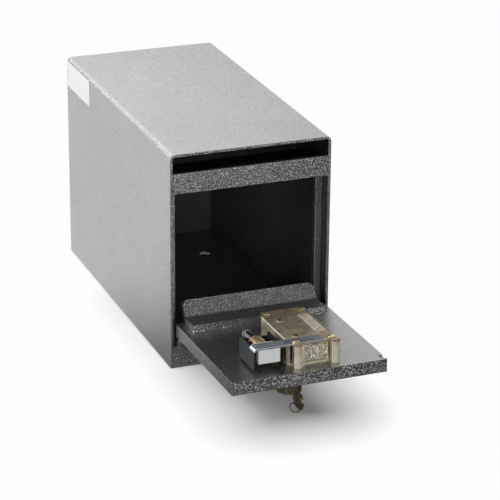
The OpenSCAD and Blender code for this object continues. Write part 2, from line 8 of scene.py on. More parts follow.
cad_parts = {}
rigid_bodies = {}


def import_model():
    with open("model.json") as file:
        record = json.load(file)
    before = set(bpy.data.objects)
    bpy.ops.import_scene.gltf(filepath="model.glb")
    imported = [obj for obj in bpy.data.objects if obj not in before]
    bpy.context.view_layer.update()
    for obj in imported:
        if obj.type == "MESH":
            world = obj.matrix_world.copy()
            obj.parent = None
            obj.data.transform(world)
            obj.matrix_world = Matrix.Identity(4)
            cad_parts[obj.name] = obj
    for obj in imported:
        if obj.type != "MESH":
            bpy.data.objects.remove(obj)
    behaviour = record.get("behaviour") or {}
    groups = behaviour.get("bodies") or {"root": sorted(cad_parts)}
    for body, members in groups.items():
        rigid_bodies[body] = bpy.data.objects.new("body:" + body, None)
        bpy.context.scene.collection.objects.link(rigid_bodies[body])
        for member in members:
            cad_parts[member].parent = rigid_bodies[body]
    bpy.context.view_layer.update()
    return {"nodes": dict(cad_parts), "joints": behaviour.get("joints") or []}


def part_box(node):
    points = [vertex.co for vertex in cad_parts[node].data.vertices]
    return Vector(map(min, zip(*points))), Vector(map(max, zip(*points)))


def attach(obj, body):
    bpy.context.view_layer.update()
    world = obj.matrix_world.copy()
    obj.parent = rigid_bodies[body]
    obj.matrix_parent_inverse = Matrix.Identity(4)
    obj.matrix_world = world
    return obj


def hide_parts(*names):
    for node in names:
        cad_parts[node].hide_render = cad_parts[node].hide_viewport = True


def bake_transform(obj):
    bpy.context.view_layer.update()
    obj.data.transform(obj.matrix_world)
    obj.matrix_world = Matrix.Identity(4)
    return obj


# A small drop safe, dressed for a studio picture. Lengths are in metres.
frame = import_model()
nodes = frame["nodes"]
joints = {joint["name"]: joint for joint in frame["joints"]}

MM = 0.001
# Vertices as close as this are one
SAME_SPOT = 0.002 * MM
# Edges sharper than this are rounded, and stay crisp in the shading
SMOOTH_ANGLE = math.radians(32)
# A face looks along an axis when its normal has at least this share along it
FACING = 0.9
# A dimple of the paint, as wide as it is drawn
DIMPLE = 0.9 * MM

# Sizes of the safe, as its construction gives them
SHEET_T = 2.66 * MM
DOOR_T = 12 * MM
HINGE_OUT = 4.76 * MM
HINGE_UP = 4.3 * MM
KEY_IN = 28.6 * MM
KEY_X = -2 * MM
GUARD_W = 127 * MM
GUARD_T = 6 * MM
GUARD_LEG = 16.1 * MM
GUARD_LEAN = math.radians(37)
GUARD_HEEL_IN = 1.4 * MM
GUARD_CORNER = 3.6 * MM
STRAP_T = 1.6 * MM
STRAP_W = 12 * MM
LID_TOP = 22 * MM
RELOCK_X = -32.6 * MM
BOX_L = 37 * MM
BOX_W = 26.9 * MM
BOX_FOOT = 2.3 * MM
BOX_REAR_H = 17.5 * MM
SPRING_R = 6.4 * MM
SPRING_WIRE_R = 0.8 * MM
SPRING_TURNS = 6
KEY_T = 2 * MM
BOW_L = 20.6 * MM
BOW_H = 15 * MM
RING_R = 5 * MM

body_low, body_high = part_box("body_shell")
door_low, door_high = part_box("door_plate")
hinge = Vector(joints["door_swing"]["pos_m"])
rest_tilt = math.radians(90 + joints["door_swing"]["range_deg"][0])
door_l = (door_high.y - door_low.y - DOOR_T * math.sin(rest_tilt)) / math.cos(rest_tilt)

# The door's own frame: its foot on the inner face is the origin, the free edge lies at -Y
ON_DOOR = (Matrix.Translation(hinge) @ Matrix.Rotation(-rest_tilt, 4, "X")
           @ Matrix.Translation((0, HINGE_UP, DOOR_T + HINGE_OUT)))
# The lock's frame: the key's axis on the door's inner face
ON_LOCK = ON_DOOR @ Matrix.Translation((KEY_X, KEY_IN - door_l, 0))


# Making and finishing meshes

def object_from(name, data):
    """A new object in the scene from a mesh, a curve, a lamp or a camera."""
    made = bpy.data.objects.new(name, data)
    bpy.context.scene.collection.objects.link(made)
    return made


def evaluated(source, name):
    """A plain mesh object of what source looks like with its modifiers; source is removed."""
    graph = bpy.context.evaluated_depsgraph_get()
    mesh = bpy.data.meshes.new_from_object(source.evaluated_get(graph), depsgraph=graph)
    old = source.data
    bpy.data.objects.remove(source)
    if old.users == 0:
        bpy.data.batch_remove([old])
    mesh.name = name
    return object_from(name, mesh)


def eased(source, width, segments=2, coats=()):
    """Rounds the sharp edges, as a coat of paint or a tumbling drum leaves them. With two coats,
    the rounded edges get the second one."""
    for face in source.data.polygons:
        face.use_smooth = True
    for coat in coats:
        source.data.materials.append(coat)
    if width:
        bevel = source.modifiers.new("ease", "BEVEL")
        bevel.width = width
        bevel.segments = segments
        bevel.limit_method = "ANGLE"
        bevel.angle_limit = SMOOTH_ANGLE
        bevel.harden_normals = True
        bevel.material = len(coats) - 1
    source.data.set_sharp_from_angle(angle=SMOOTH_ANGLE)
    name = source.name
    source.name = name + "_blank"
    return evaluated(source, name)


def copied(node):
    """A merged copy of a CAD node's mesh, with its flat faces made whole."""
    work = bmesh.new()
    work.from_mesh(nodes[node].data)
    bmesh.ops.remove_doubles(work, verts=work.verts, dist=SAME_SPOT)
    bmesh.ops.dissolve_limit(work, angle_limit=math.radians(0.5), verts=work.verts,
                             edges=work.edges, delimit=set())
    mesh = bpy.data.meshes.new(node)
    work.to_mesh(mesh)
    work.free()
    return mesh


def placed(work, name, place=None):
    """An object from a bmesh in a piece's own frame, set in its place."""
    if place is not None:
        bmesh.ops.transform(work, matrix=place, verts=work.verts)
    bmesh.ops.remove_doubles(work, verts=work.verts, dist=SAME_SPOT / 2)
    bmesh.ops.recalc_face_normals(work, faces=work.faces)
    mesh = bpy.data.meshes.new(name)
    work.to_mesh(mesh)
    work.free()
    return object_from(name, mesh)


def finished(piece, material, body, slot, *replaced):
    """Paints a bare piece, lets it ride on its body and hides the CAD nodes it stands in for."""
    if not piece.data.materials:
        piece.data.materials.append(material)
    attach(piece, body)
    if replaced:
        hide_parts(*replaced)
    return piece


def prism(outline, low, high, axis="X"):
    """A bmesh prism: the outline's points lie across the axis, from low to high along it."""
    work = bmesh.new()
    rings = []
    for level in (low, high):
        if axis == "X":
            places = [(level, a, b) for a, b in outline]
        elif axis == "Y":
            places = [(a, level, b) for a, b in outline]
        else:
            places = [(a, b, level) for a, b in outline]
        rings.append([work.verts.new(place) for place in places])
    count = len(outline)
    work.faces.new(rings[0])
    work.faces.new(reversed(rings[1]))
    for i in range(count):
        j = (i + 1) % count
        work.faces.new((rings[0][i], rings[1][i], rings[1][j], rings[0][j]))
    return work


def arc(centre, radius, start, end, steps=8):
    """Points on an arc, its angles in degrees."""
    turns = [math.radians(start + (end - start) * i / steps) for i in range(steps + 1)]
    return [(centre[0] + radius * math.cos(t), centre[1] + radius * math.sin(t)) for t in turns]


def lathe(profile, steps=48):
    """A bmesh turned about Z from (radius, height) points, the first and last on the axis."""
    work = bmesh.new()
    rings = []
    for radius, height in profile:
        if radius == 0:
            rings.append([work.verts.new((0, 0, height))])
            continue
        turns = [2 * math.pi * k / steps for k in range(steps)]
        rings.append([work.verts.new((radius * math.cos(t), radius * math.sin(t), height))
                      for t in turns])
    for a, b in zip(rings, rings[1:]):
        for k in range(steps):
            n = (k + 1) % steps
            corners = [a[k % len(a)], a[n % len(a)], b[n % len(b)], b[k % len(b)]]
            work.faces.new(list(dict.fromkeys(corners)))
    return work


# Materials

def linear(code):
    """Linear colour from an sRGB hex value."""
    parts = [int(code[i:i + 2], 16) / 255 for i in (0, 2, 4)]
    return tuple(c / 12.92 if c <= 0.04045 else ((c + 0.055) / 1.055) ** 2.4 for c in parts) + (1,)


def add(tree, kind, inputs=None, **settings):
    """Adds a node; an input is a value, or a socket to link from."""
    node = tree.nodes.new(kind)
    for key, value in settings.items():
        setattr(node, key, value)
    for key, value in (inputs or {}).items():
        if isinstance(value, bpy.types.NodeSocket):
            tree.links.new(value, node.inputs[key])
        else:
            node.inputs[key].default_value = value
    return node


def material(name):
    """An empty material with its object coordinates."""
    made = bpy.data.materials.new(name)
    made.use_nodes = True
    made.node_tree.nodes.clear()
    place = add(made.node_tree, "ShaderNodeTexCoord").outputs["Object"]
    return made, made.node_tree, place


def maths(tree, operation, *values):
    """The result of a sum on numbers."""
    return add(tree, "ShaderNodeMath", dict(enumerate(values)), operation=operation).outputs[0]


def vectors(tree, operation, *values):
    """The result of a sum on vectors."""
    return add(tree, "ShaderNodeVectorMath", dict(enumerate(values)), operation=operation).outputs[0]


def scaled(tree, vector, factor):
    """A vector or a colour times a number."""
    return add(tree, "ShaderNodeVectorMath", {0: vector, "Scale": factor}, operation="SCALE").outputs[0]


def mixed(tree, factor, low, high):
    """A blend of two colours."""
    return add(tree, "ShaderNodeMix", {"Factor": factor, "A": low, "B": high},
               data_type="RGBA").outputs["Result"]


def noise(tree, place, size, detail, **more):
    """The outputs of a cloudy noise, its clouds about as wide as size."""
    return add(tree, "ShaderNodeTexNoise",
               {"Vector": place, "Scale": 1 / size, "Detail": detail, **more}).outputs


def ramp(tree, factor, low, high, from_low=0.0, from_high=1.0):
    """Blends two colours as factor goes from from_low to from_high."""
    return mixed(tree, between(tree, factor, 0.0, 1.0, from_low, from_high), low, high)


def between(tree, factor, low, high, from_low=0.0, from_high=1.0):
    """A value that goes from low to high as factor goes from from_low to from_high."""
    return add(tree, "ShaderNodeMapRange", {"Value": factor, "From Min": from_low, "From Max": from_high,
                                            "To Min": low, "To Max": high}).outputs["Result"]


def dimpled(tree, place, size, depth, detail=1.0):
    """The surface's normal, leant at random from dimple to dimple of the given size."""
    grain = noise(tree, place, size, detail, Roughness=0.6)["Color"]
    lean = scaled(tree, vectors(tree, "SUBTRACT", grain, (0.5, 0.5, 0.5)), depth)
    normal = add(tree, "ShaderNodeNewGeometry").outputs["Normal"]
    return vectors(tree, "NORMALIZE", vectors(tree, "ADD", normal, lean))


def shaded(tree, **inputs):
    """The principled shader and the output; a name's underscores stand for spaces."""
    shader = add(tree, "ShaderNodeBsdfPrincipled",
                 {name.replace("_", " "): value for name, value in inputs.items()})
    add(tree, "ShaderNodeOutputMaterial", {"Surface": shader.outputs[0]})


def hammertone(name, dark, light, inside=None, lean=2.0):
    """Alkyd hammertone enamel, sprayed: aluminium flake in a grey coat that dries into small
    glossy dimples. Faces that mirror something even look smooth and pale, and front faces look
    like salt and pepper. The real dimples are 0.6 mm wide and are drawn 0.9 mm wide so that
    they show. With inside, the room in that box gets a painted shade: a dark, dull tone that
    lightens towards the rear; a smaller lean stands for a coat that flowed out flat."""
    made, tree, place = material(name)
    dimple = noise(tree, place, DIMPLE, 1.0)["Fac"]
    tone = ramp(tree, dimple, linear(dark), linear(light), 0.38, 0.62)
    cloud, reach = 60 * MM, 130 * MM
    drift = noise(tree, place, cloud, 2.0)["Fac"]
    tone = scaled(tree, tone, between(tree, drift, 0.96, 1.04, 0.3, 0.7))
    flake, painted_shade_flake = 0.9, 0.1
    if inside:
        low, high = inside
        deep = add(tree, "ShaderNodeSeparateXYZ", {0: place}).outputs["Y"]
        # Painted shade: inside the body the coat is drawn dark, dull and lighter towards the rear
        painted_shade_tone = ramp(tree, deep, linear("1c1c1d"), linear("77777a"), low[1], low[1] + reach)
        hidden = within(tree, place, low, high)
        tone = mixed(tree, hidden, tone, painted_shade_tone)
        flake = between(tree, hidden, flake, painted_shade_flake)
    gloss = between(tree, dimple, 0.24, 0.34, 0.3, 0.7)
    shaded(tree, Base_Color=tone, Metallic=flake, Roughness=gloss,
           Normal=dimpled(tree, place, DIMPLE, lean, detail=2.0))
    return made


def within(tree, place, low, high):
    """1 inside a box and 0 outside it."""
    centre = [(a + b) / 2 for a, b in zip(low, high)]
    half = [(b - a) / 2 for a, b in zip(low, high)]
    offset = vectors(tree, "ABSOLUTE", vectors(tree, "SUBTRACT", place, centre))
    room = add(tree, "ShaderNodeSeparateXYZ", {0: vectors(tree, "SUBTRACT", half, offset)}).outputs
    least = maths(tree, "MINIMUM", room["X"], room["Z"])
    least = maths(tree, "MINIMUM", least, room["Y"])
    return maths(tree, "GREATER_THAN", least, 0.0)


def plated(name, dark, light, rough, grain=0.5 * MM, lean=0.12, cloud=6 * MM, metallic=1.0):
    """Bright plated or cast metal: two tones that drift over a few millimetres and a fine grain
    that breaks up its reflections."""
    made, tree, place = material(name)
    drift = noise(tree, place, cloud, 3.0)["Fac"]
    tone = ramp(tree, drift, linear(dark), linear(light), 0.35, 0.65)
    scuff = noise(tree, place, grain, 2.0)["Fac"]
    gloss = between(tree, scuff, rough * 0.8, rough * 1.25, 0.3, 0.7)
    shaded(tree, Base_Color=tone, Metallic=metallic, Roughness=gloss,
           Normal=dimpled(tree, place, grain, lean))
    return made


def zinc_plate():
    """Bright zinc with a clear passivate: almost white, with blue and straw shadows."""
    cloud, straw, grain = 7 * MM, 11 * MM, 0.9 * MM
    made, tree, place = material("clear_zinc_plate")
    drift = noise(tree, place, cloud, 2.0)["Fac"]
    cool = ramp(tree, drift, linear("93a6c4"), linear("d5dde2"), 0.3, 0.6)
    tint = noise(tree, place, straw, 1.0, Distortion=1.2)["Fac"]
    tone = mixed(tree, between(tree, tint, 0.0, 0.45, 0.55, 0.72), cool, linear("cdbb9a"))
    shaded(tree, Base_Color=tone, Metallic=0.65, Roughness=0.22,
           Normal=dimpled(tree, place, grain, 0.08))
    return made


def yellow_zinc():
    """Yellow chromate over zinc on spring wire: gold with pinkish brown patches."""
    cloud, grain = 7 * MM, 0.6 * MM
    made, tree, place = material("yellow_zinc_chromate")
    drift = noise(tree, place, cloud, 1.0)["Fac"]
    tone = ramp(tree, drift, linear("a88f7c"), linear("d6c08c"), 0.35, 0.62)
    shaded(tree, Base_Color=tone, Metallic=1.0, Roughness=0.24,
           Normal=dimpled(tree, place, grain, 0.12))
    return made


def slot_painted_shade_sheet():
    """Painted shade for the plates behind the slot: a dull, nearly black sheet."""
    cloud, grain = 9 * MM, 1.2 * MM
    made, tree, place = material("black_primer")
    drift = noise(tree, place, cloud, 3.0)["Fac"]
    tone = ramp(tree, drift, linear("161616"), linear("242425"), 0.35, 0.65)
    shaded(tree, Base_Color=tone, Roughness=0.62, Normal=dimpled(tree, place, grain, 0.2))
    return made


def label_paper():
    """Coated label paper: bright, faintly satin white with a soft fibre mottle."""
    fibre_size = 0.8 * MM
    made, tree, place = material("coated_label_paper")
    fibre = noise(tree, place, fibre_size, 4.0)["Fac"]
    tone = ramp(tree, fibre, linear("eeeef0"), linear("f8f8f9"), 0.3, 0.7)
    shaded(tree, Base_Color=tone, Roughness=0.45, Normal=dimpled(tree, place, fibre_size, 0.03))
    return made


# The inner room of the body, which gets a painted shade; it starts just behind the front edges,
# # and its floor and rear lie just inside the outer faces
SHADE_BEHIND_FRONT = 0.8 * MM
SHADE_INSET = 0.3 * MM
INSIDE = ((body_low.x + SHEET_T / 2, body_low.y + SHADE_BEHIND_FRONT, SHADE_INSET),
          (body_high.x - SHEET_T / 2, body_high.y - SHADE_INSET, body_high.z - SHEET_T / 2))

paint = hammertone("grey_hammertone_enamel", "a7a7a8", "b1b1b1")
body_paint = hammertone("grey_hammertone_enamel_body", "a7a7a8", "b1b1b1", INSIDE)
# The door's inner face: a smoother, flowed coat whose darker tone is painted shade
flowed_paint_with_painted_shade = hammertone("grey_hammertone_enamel_flowed", "9a9a9b", "a2a2a2", lean=0.8)
slot_painted_shade = slot_painted_shade_sheet()
# Zinc die casting with a satin champagne nickel plate: warm and dull on its flats, cream where
# it faces the light, with a fine sandy skin from the mould
nickel = plated("champagne_nickel_die_casting", "dccfb4", "f6ecd4", 0.36, grain=0.7 * MM, lean=0.5,
                metallic=0.3)
# The same plate near white: painted highlight on the castings' rounded edges and along the lid's left edge,
# and wear on the pad's raised stipple
wear_and_painted_highlight = plated("rubbed_nickel_edges", "f8f2e2", "fffcf2", 0.3, metallic=0.1)
# The lid's pressed sheet under the same plate: flatter, browner and duller than the casting; on the
# casting's left side it is painted shade
cover_nickel = plated("champagne_nickel_lid", "9c8f78", "c8b99c", 0.4, grain=0.8 * MM, lean=1.2,
                      metallic=0.6)
# The relock bolt's milled and zinc-plated block: dull, even and nearly white; the same near white is a
# painted highlight on the bracket's rounded edges
milled_and_edge_highlight = plated("milled_zinc_block", "f4f8f6", "fcfefc", 0.4, lean=0.2, metallic=0.05)
# Yellow-plated screws: smooth, gold and brighter than what they hold
screw_gold = plated("yellow_plated_screws", "d8c48c", "f4e8bd", 0.24, lean=0.05, metallic=0.85)
# The bolt's sawn and plated face: a coarser grain that glitters
bolt_face = plated("nickel_plated_bolt", "a8a188", "fffce8", 0.22, grain=1.3 * MM, lean=1.8,
                   cloud=1.6 * MM, metallic=0.4)
zinc = zinc_plate()
# Painted dark reflection on the bracket's channel: zinc drawn as a dark blue-grey skin
painted_dark_reflection_zinc = plated("black_passivated_zinc", "111317", "1f2227", 0.5, lean=0.1, cloud=5 * MM,
                   metallic=0.3)
gold = yellow_zinc()
# Bright drawn and turned steel
steel = plated("bright_drawn_steel", "8e8e8c", "c6c6c4", 0.26, grain=0.4 * MM, lean=0.1)
# Nickel silver of the key and its ring, darkened by handling: olive brown, lighter in patches
alloy = plated("worn_nickel_silver", "6d6350", "a89b7e", 0.28, grain=1.2 * MM, lean=0.5,
               cloud=3 * MM, metallic=0.75)
paper = label_paper()


# Pieces that keep the construction's shape, with their edges eased: the piece, its CAD node, how
# wide its edges are rounded in millimetres, its coat, its body and its material slot
EASED = (
    ("folded_shell", "body_shell", 0.45, body_paint, "safe_body", "hammertone_paint"),
    ("floor_sheet", "bottom_plate", 0.3, body_paint, "safe_body", "hammertone_paint"),
    ("rear_sheet", "back_plate", 0.3, body_paint, "safe_body", "hammertone_paint"),
    ("slot_bar", "cross_bar", 0.5, paint, "safe_body", "hammertone_paint"),
    ("door_sill", "sill_bar", 0.5, paint, "safe_body", "hammertone_paint"),
    ("left_stop", "stop_strip_left", 0.5, paint, "safe_body", "hammertone_paint"),
    ("right_stop", "stop_strip_right", 0.5, paint, "safe_body", "hammertone_paint"),
    # Painted shade: the chute and baffle are drawn nearly black
    ("chute_sheet", "deposit_chute", 0.2, slot_painted_shade, "safe_body", "dark_paint"),
    ("baffle_sheet", "deposit_baffle", 0.2, slot_painted_shade, "safe_body", "dark_paint"),
    ("sill_knuckles", "hinge_leaf_body", 0.25, paint, "safe_body", "hammertone_paint"),
    ("hinge_rod", "hinge_pin", 0.3, steel, "safe_body", "bright_steel"),
    ("drop_door", "door_plate", 0.7, paint, "door", "hammertone_paint"),
    ("door_knuckles", "hinge_leaf_door", 0.25, paint, "door", "hammertone_paint"),
    ("lock_casting", "lock_case", 0.35, nickel, "door", "nickel_casting"),
    ("lock_cover", "lock_lid", 0.85, cover_nickel, "door", "nickel_casting"),
    ("lever_pivot_pin", "lever_post", 0.15, steel, "door", "bright_steel"),
    ("bolt_bar", "lock_bolt", 0.3, bolt_face, "lock_bolt", "nickel_casting"),
    ("turning_barrel", "key_barrel", 0.15, alloy, "key", "key_alloy"),
    ("relock_bolt", "relock_block", 0.6, milled_and_edge_highlight, "relocker", "zinc_plate"),
    ("relock_spindle", "relock_rod", 0.3, steel, "relocker", "bright_steel"),
)


def eased_pieces():
    """Makes the pieces of the table above."""
    for name, node, width, coat, body, slot in EASED:
        # The castings' rounded edges get a painted highlight
        coats = (coat, wear_and_painted_highlight) if coat in (nickel, cover_nickel) else ()
        piece = eased(object_from(name, copied(node)), width * MM, coats=coats)
        if node == "lock_case":
            horn_and_shaded_side_faces(piece)
        if node == "door_plate":
            flowed_faces(piece)
        finished(piece, coat, body, slot, node)


def flowed_faces(door):
    """The door dried lying down, so the coat flowed out flat on its inner face; the darker tone of that face
    is painted shade.
    """
    door.data.materials.append(paint)
    door.data.materials.append(flowed_paint_with_painted_shade)
    up = ON_DOOR.to_3x3() @ Vector((0, 0, 1))
    for face in door.data.polygons:
        face.material_index = int(face.normal.dot(up) > FACING)


def horn_and_shaded_side_faces(casting):
    """The casting's horn in front of the door takes the key's darker coat, and its left side
    takes the lid's duller coat as painted shade."""
    coats = casting.data.materials
    horn_coat, side_shade_coat = len(coats), len(coats) + 1
    coats.append(alloy)
    coats.append(cover_nickel)
    back = ON_LOCK.inverted()
    for face in casting.data.polygons:
        if (back @ face.center).z < -DOOR_T / 2:
            face.material_index = horn_coat
        # Painted shade on the casting's left side
        elif face.normal.x < -FACING:
            face.material_index = side_shade_coat


def kept_nodes():
    """Pieces hidden in the lock keep their construction, with a machined finish."""
    for node in ("case_screws", "bolt_drive_fork", "crank_pin", "lever_lower", "lever_middle",
                 "lever_upper", "lever_springs"):
        nodes[node].data.materials.clear()
        nodes[node].data.materials.append(steel)


# Door guard and its welds

def door_guard():
    """The bent bar over the door's foot: two flats, a pressed bend and clipped corners."""
    lean = Vector((math.sin(GUARD_LEAN), math.cos(GUARD_LEAN)))
    across = Vector((lean.y, -lean.x))
    heel = Vector((-GUARD_T * math.tan(GUARD_LEAN / 2) - GUARD_HEEL_IN, GUARD_T))
    tip = heel + GUARD_LEG * lean
    reach = guard_reach()
    bend, rounding = 2.5 * MM, 0.7 * MM
    # The bend's centre lies the same distance from both inner faces
    opening = math.pi / 2 + GUARD_LEAN
    back = bend / math.tan(opening / 2)
    centre = Vector((heel.x - back, GUARD_T + bend))
    start, end = -90, -math.degrees(GUARD_LEAN)
    inner = arc(centre, bend, start, end, 6)
    outer = arc(centre, bend + GUARD_T, start, end, 10)
    outline = ([(-reach, GUARD_T)] + inner + [tuple(tip), tuple(tip + GUARD_T * across)]
               + outer[::-1] + [(-reach, 0)])
    work = prism(outline, -GUARD_W / 2, GUARD_W / 2)
    for side in (-1, 1):
        corner = Vector((side * (GUARD_W / 2 - GUARD_CORNER), 0, tip.y))
        cut = bmesh.ops.bisect_plane(work, geom=work.verts[:] + work.edges[:] + work.faces[:],
                                     plane_co=corner, plane_no=Vector((side, 0, 1)), clear_outer=True)
        rim = [item for item in cut["geom_cut"] if isinstance(item, bmesh.types.BMEdge)]
        bmesh.ops.edgeloop_fill(work, edges=rim)
    piece = eased(placed(work, "bent_guard", ON_DOOR), rounding)
    finished(piece, paint, "door", "hammertone_paint", "door_guard")


def box_from(place, node):
    """A node's lowest and highest corner in a place's own frame."""
    back = place.inverted()
    corners = [back @ vertex.co for vertex in nodes[node].data.vertices]
    low = Vector([min(c[i] for c in corners) for i in range(3)])
    high = Vector([max(c[i] for c in corners) for i in range(3)])
    return low, high


def guard_reach():
    """How far the guard's flat leg lies over the door, from the construction's own box."""
    return -box_from(ON_DOOR, "door_guard")[0].y


def new_tree(name, sockets):
    """A geometry tree with named inputs."""
    tree = bpy.data.node_groups.new(name, "GeometryNodeTree")
    tree.interface.new_socket("Geometry", in_out="INPUT", socket_type="NodeSocketGeometry")
    for label, kind in sockets:
        tree.interface.new_socket(label, in_out="INPUT", socket_type="NodeSocket" + kind)
    tree.interface.new_socket("Geometry", in_out="OUTPUT", socket_type="NodeSocketGeometry")
    entry = tree.nodes.new("NodeGroupInput")
    return tree, entry.outputs


def closed_tree(tree, geometry):
    """Ends a tree: instances become real, and the material is set."""
    entry = tree.nodes.new("NodeGroupInput").outputs
    real = add(tree, "GeometryNodeRealizeInstances", {"Geometry": geometry})
    coat = add(tree, "GeometryNodeSetMaterial", {"Geometry": real.outputs[0], "Material": entry["Coat"]})
    smooth = add(tree, "GeometryNodeSetShadeSmooth", {"Geometry": coat.outputs[0]})
    ends = tree.nodes.new("NodeGroupOutput")
    tree.links.new(smooth.outputs[0], ends.inputs[0])


def grown(name, tree, base, values, place=None):
    """Runs a tree on a base mesh and returns the plain result."""
    source = object_from(name + "_base", base)
    grower = source.modifiers.new("grow", "NODES")
    grower.node_group = tree
    sockets = {item.name: item.identifier for item in tree.interface.items_tree
               if item.item_type == "SOCKET" and item.in_out == "INPUT"}
    for label, value in values.items():
        grower[sockets[label]] = value
    source.update_tag()
    bpy.context.view_layer.update()
    made = evaluated(source, name)
    if place is not None:
        made.data.transform(place)
    return made


def points_mesh(places):
    """A mesh of loose points, for a tree to put pieces on."""
    mesh = bpy.data.meshes.new("points")
    mesh.from_pydata([tuple(place) for place in places], [], [])
    return mesh


def weld_tree():
    """Overlapping ripples along a line of points, each a flattened drop of weld metal."""
    tree, entry = new_tree("weld_ripples", (("Radius", "Float"), ("Rise", "Float"), ("Seed", "Int"),
                                            ("Coat", "Material")))
    drop = add(tree, "GeometryNodeMeshIcoSphere", {"Radius": entry["Radius"], "Subdivisions": 3})
    size = add(tree, "FunctionNodeRandomValue", {2: 0.82, 3: 1.12, "Seed": entry["Seed"]},
               data_type="FLOAT")
    flat = add(tree, "ShaderNodeCombineXYZ", {"X": 1.0, "Y": 1.0, "Z": entry["Rise"]})
    scale = scaled(tree, flat.outputs[0], size.outputs[1])
    drops = add(tree, "GeometryNodeInstanceOnPoints",
                {"Points": entry["Geometry"], "Instance": drop.outputs["Mesh"], "Scale": scale})
    closed_tree(tree, drops.outputs[0])
    return tree


def guard_welds():
    """Three short welds along the edge of the guard's flat leg."""
    tree = weld_tree()
    reach = guard_reach()
    radius = 1.9 * MM
    pitch = 1.1 * MM
    # Where each run starts, and its number of ripples
    runs = ((-GUARD_W / 2 + 1.5 * MM, 10), (-GUARD_W / 2 + 30 * MM, 6), (GUARD_W / 2 - 17 * MM, 14))
    off_guard, sway, above_door = 0.6 * MM, 0.25 * MM, 0.4 * MM
    sway_pace, flatness = 2.1, 0.72
    places = []
    for start, count in runs:
        places += [(start + i * pitch, -reach - off_guard + sway * math.sin(sway_pace * i), above_door)
                   for i in range(count)]
    piece = grown("guard_welds", tree, points_mesh(places),
                  {"Radius": radius, "Rise": flatness, "Seed": 4, "Coat": paint}, ON_DOOR)
    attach(piece, "door")


# Lock details

def screw_tree():
    """Pan-head screws with a cross recess, one at each point, each turned its own way."""
    tree, entry = new_tree("lid_screws", (("Blank", "Object"), ("Recess width", "Float"),
                                          ("Recess length", "Float"), ("Recess place", "Float"),
                                          ("Coat", "Material")))
    blank = add(tree, "GeometryNodeObjectInfo", {"Object": entry["Blank"]})
    narrow, wide, height = entry["Recess width"], entry["Recess length"], entry["Recess place"]
    one = add(tree, "ShaderNodeCombineXYZ", {"X": wide, "Y": narrow, "Z": wide})
    other = add(tree, "ShaderNodeCombineXYZ", {"X": narrow, "Y": wide, "Z": wide})
    rise = maths(tree, "ADD", maths(tree, "MULTIPLY", wide, 0.5), height)
    lift = add(tree, "ShaderNodeCombineXYZ", {"Z": rise})
    cutters = []
    for size in (one, other):
        bar = add(tree, "GeometryNodeMeshCube", {"Size": size.outputs[0]})
        cutters.append(add(tree, "GeometryNodeTransform", {"Geometry": bar.outputs["Mesh"],
                                                           "Translation": lift.outputs[0]}))
    cut = blank.outputs["Geometry"]
    for cutter in cutters:
        cut = add(tree, "GeometryNodeMeshBoolean", {"Mesh 1": cut, "Mesh 2": cutter.outputs[0]},
                  operation="DIFFERENCE", solver="EXACT").outputs["Mesh"]
    whole = add(tree, "GeometryNodeMergeByDistance", {"Geometry": cut, "Distance": SAME_SPOT})
    turn = add(tree, "FunctionNodeRandomValue", {2: 0.0, 3: 1.5, "Seed": 3}, data_type="FLOAT")
    about = add(tree, "ShaderNodeCombineXYZ", {"Z": turn.outputs[1]})
    heads = add(tree, "GeometryNodeInstanceOnPoints",
                {"Points": entry["Geometry"], "Instance": whole.outputs["Geometry"],
                 "Rotation": about.outputs[0]})
    closed_tree(tree, heads.outputs[0])
    return tree


def screw_places():
    """The middle of each of the lid's screws, in the lock's frame."""
    back = ON_LOCK.inverted()
    work = bmesh.new()
    work.from_mesh(nodes["lid_screws"].data)
    bmesh.ops.remove_doubles(work, verts=work.verts, dist=SAME_SPOT)
    left = set(work.verts)
    places = []
    while left:
        group, edge = set(), [left.pop()]
        while edge:
            vertex = edge.pop()
            group.add(vertex)
            for link in vertex.link_edges:
                other = link.other_vert(vertex)
                if other in left:
                    left.discard(other)
                    edge.append(other)
        corners = [back @ vertex.co for vertex in group]
        low = [min(c[i] for c in corners) for i in range(2)]
        high = [max(c[i] for c in corners) for i in range(2)]
        places.append(((low[0] + high[0]) / 2, (low[1] + high[1]) / 2, LID_TOP))
    work.free()
    return sorted(places)


def lid_screws():
    """The four pan-head screws at the lid's corners."""
    head_r, head_h, shank_r, shank_l = 3.2 * MM, 1.1 * MM, 1.5 * MM, 8 * MM
    rim, brim = 0.35 * MM, head_h / 2
    recess_w, recess_l, recess_foot = 0.75 * MM, 3.2 * MM, 0.35 * MM
    profile = ([(0, -shank_l), (shank_r - rim, -shank_l), (shank_r, -shank_l + rim), (shank_r, 0),
                (head_r - rim / 2, 0), (head_r, rim / 2), (head_r, brim)]
               + [(head_r * math.cos(t), brim + brim * math.sin(t))
                  for t in [math.radians(a) for a in (20, 40, 60, 78)]] + [(0, head_h)])
    blank = placed(lathe(profile, 40), "screw_blank")
    piece = grown("cover_screws", screw_tree(), points_mesh(screw_places()),
                  {"Blank": blank, "Recess width": recess_w, "Recess length": recess_l,
                   "Recess place": recess_foot, "Coat": screw_gold}, ON_LOCK)
    bpy.data.objects.remove(blank)
    piece.data.set_sharp_from_angle(angle=SMOOTH_ANGLE)
    finished(piece, nickel, "door", "nickel_casting", "lid_screws")


